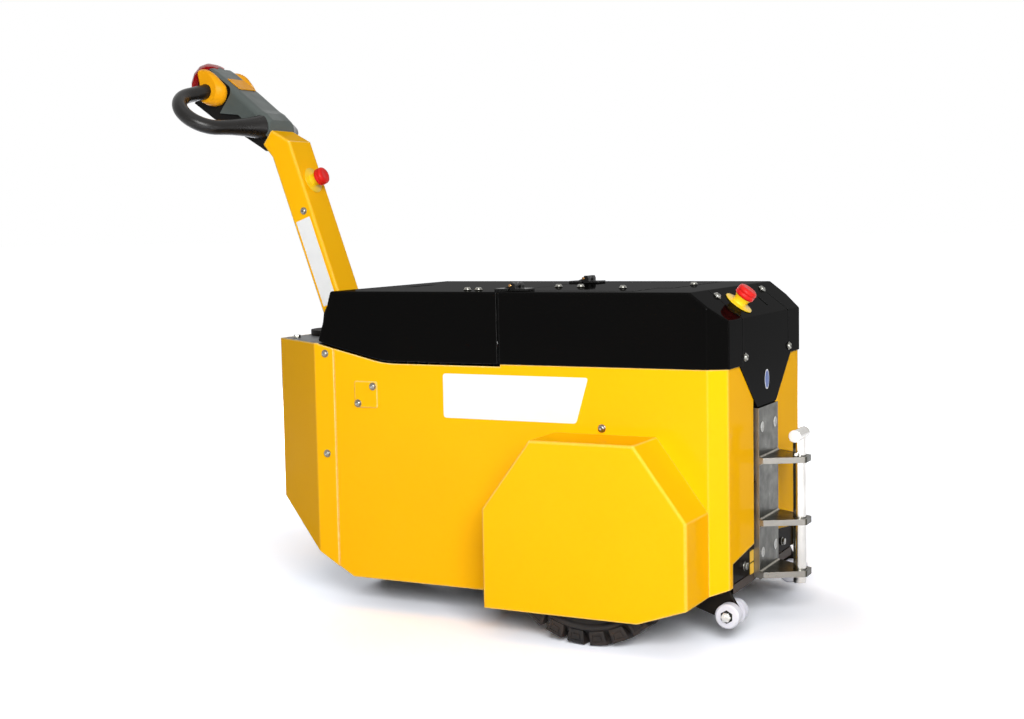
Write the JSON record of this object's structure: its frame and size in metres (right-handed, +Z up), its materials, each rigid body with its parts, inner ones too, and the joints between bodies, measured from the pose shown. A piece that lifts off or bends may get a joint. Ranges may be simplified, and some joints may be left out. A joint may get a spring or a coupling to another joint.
{
  "type": "electric tow tug",
  "caption": "Pedestrian electric tow tug: boxed body with guarded drive wheels, trailing castor, tilting tiller, hinged battery lid and a pin hitch.",
  "frame": {"origin": "on the ground below the centre of the bounding box", "axes": "+X towards the hitch end, +Y to the left when facing the hitch, +Z up"},
  "size_m": [1.497, 0.737, 1.2002],
  "materials": {
    "golden_yellow_paint": "satin powder coat",
    "gloss_black_cover": "gloss",
    "black_paint": "satin",
    "grey_paint": "satin",
    "zinc_steel": "zinc plated",
    "tyre_rubber": "matt",
    "white_nylon": "satin",
    "dark_grey_plastic": "fine grain",
    "black_grip": "satin",
    "yellow_plastic": "satin",
    "red_plastic": "gloss",
    "castor_tread": "matt",
    "battery_case": "matt"
  },
  "bodies": {
    "chassis": {"chassis_frame": "black_paint", "castor_mount": "black_paint", "side_panel_right": "golden_yellow_paint", "side_panel_left": "golden_yellow_paint", "tail_cover": "golden_yellow_paint", "tail_deck": "grey_paint", "battery_pack": "battery_case", "lid_front": "gloss_black_cover", "hinge_base_right": "black_paint", "hinge_base_left": "black_paint", "transaxle": "black_paint", "wheel_guard_right": "golden_yellow_paint", "wheel_guard_left": "golden_yellow_paint", "hitch_back": "zinc_steel", "hitch_plate_top": "zinc_steel", "hitch_plate_mid": "zinc_steel", "hitch_plate_low": "zinc_steel", "roller_bracket_right": "black_paint", "roller_bracket_left": "black_paint", "lid_estop": "red_plastic", "access_plate": "golden_yellow_paint"},
    "battery_lid": {"lid_rear": "gloss_black_cover", "hinge_leaf_right": "black_paint", "hinge_leaf_left": "black_paint"},
    "drive_wheel_right": {"tyre_right": "tyre_rubber", "rim_right": "grey_paint"},
    "drive_wheel_left": {"tyre_left": "tyre_rubber", "rim_left": "grey_paint"},
    "castor_fork": {"castor_fork": "zinc_steel"},
    "castor_wheel": {"castor_wheel": "castor_tread"},
    "tow_pin": {"tow_pin": "zinc_steel"},
    "roller_right": {"roller_right": "white_nylon"},
    "roller_left": {"roller_left": "white_nylon"},
    "turntable": {"turntable": "black_paint"},
    "tiller": {"tiller_arm": "golden_yellow_paint", "head_cover": "dark_grey_plastic", "head_base": "black_grip", "grip_right": "black_grip", "grip_left": "black_grip", "paddle_right": "yellow_plastic", "paddle_left": "yellow_plastic", "belly_button": "red_plastic", "rocker_right": "yellow_plastic", "rocker_left": "yellow_plastic", "tiller_estop": "red_plastic"}
  },
  "joints": [
    {"name": "battery_lid_hinge", "type": "hinge", "parent": "chassis", "child": "battery_lid", "pos_m": [0.195, 0, 0.6825], "axis": [0, 1, 0], "range_deg": [0, 95]},
    {"name": "drive_wheel_right_spin", "type": "hinge", "parent": "chassis", "child": "drive_wheel_right", "pos_m": [0.4135, -0.306, 0.1875], "axis": [0, 1, 0], "continuous": true},
    {"name": "drive_wheel_left_spin", "type": "hinge", "parent": "chassis", "child": "drive_wheel_left", "pos_m": [0.4135, 0.306, 0.1875], "axis": [0, 1, 0], "continuous": true},
    {"name": "castor_swivel", "type": "hinge", "parent": "chassis", "child": "castor_fork", "pos_m": [-0.1705, 0, 0.2], "axis": [0, 0, 1], "continuous": true},
    {"name": "castor_wheel_spin", "type": "hinge", "parent": "castor_fork", "child": "castor_wheel", "pos_m": [-0.2105, 0, 0.08], "axis": [0, 1, 0], "continuous": true},
    {"name": "tow_pin_lift", "type": "slide", "parent": "chassis", "child": "tow_pin", "axis": [0, 0, 1], "range_m": [0, 0.27]},
    {"name": "roller_right_spin", "type": "hinge", "parent": "chassis", "child": "roller_right", "pos_m": [0.6545, -0.202, 0.0545], "axis": [0, 1, 0], "continuous": true},
    {"name": "roller_left_spin", "type": "hinge", "parent": "chassis", "child": "roller_left", "pos_m": [0.6545, 0.202, 0.0545], "axis": [0, 1, 0], "continuous": true},
    {"name": "tiller_steer", "type": "hinge", "parent": "chassis", "child": "turntable", "pos_m": [-0.3335, 0, 0.568], "axis": [0, 0, 1], "range_deg": [-45, 45]},
    {"name": "tiller_tilt", "type": "hinge", "parent": "turntable", "child": "tiller", "pos_m": [-0.3415, 0, 0.608], "axis": [0, -1, 0], "range_deg": [0, 55], "stiffness_Nm_per_rad": 22, "springref_deg": -91.67}
  ]
}
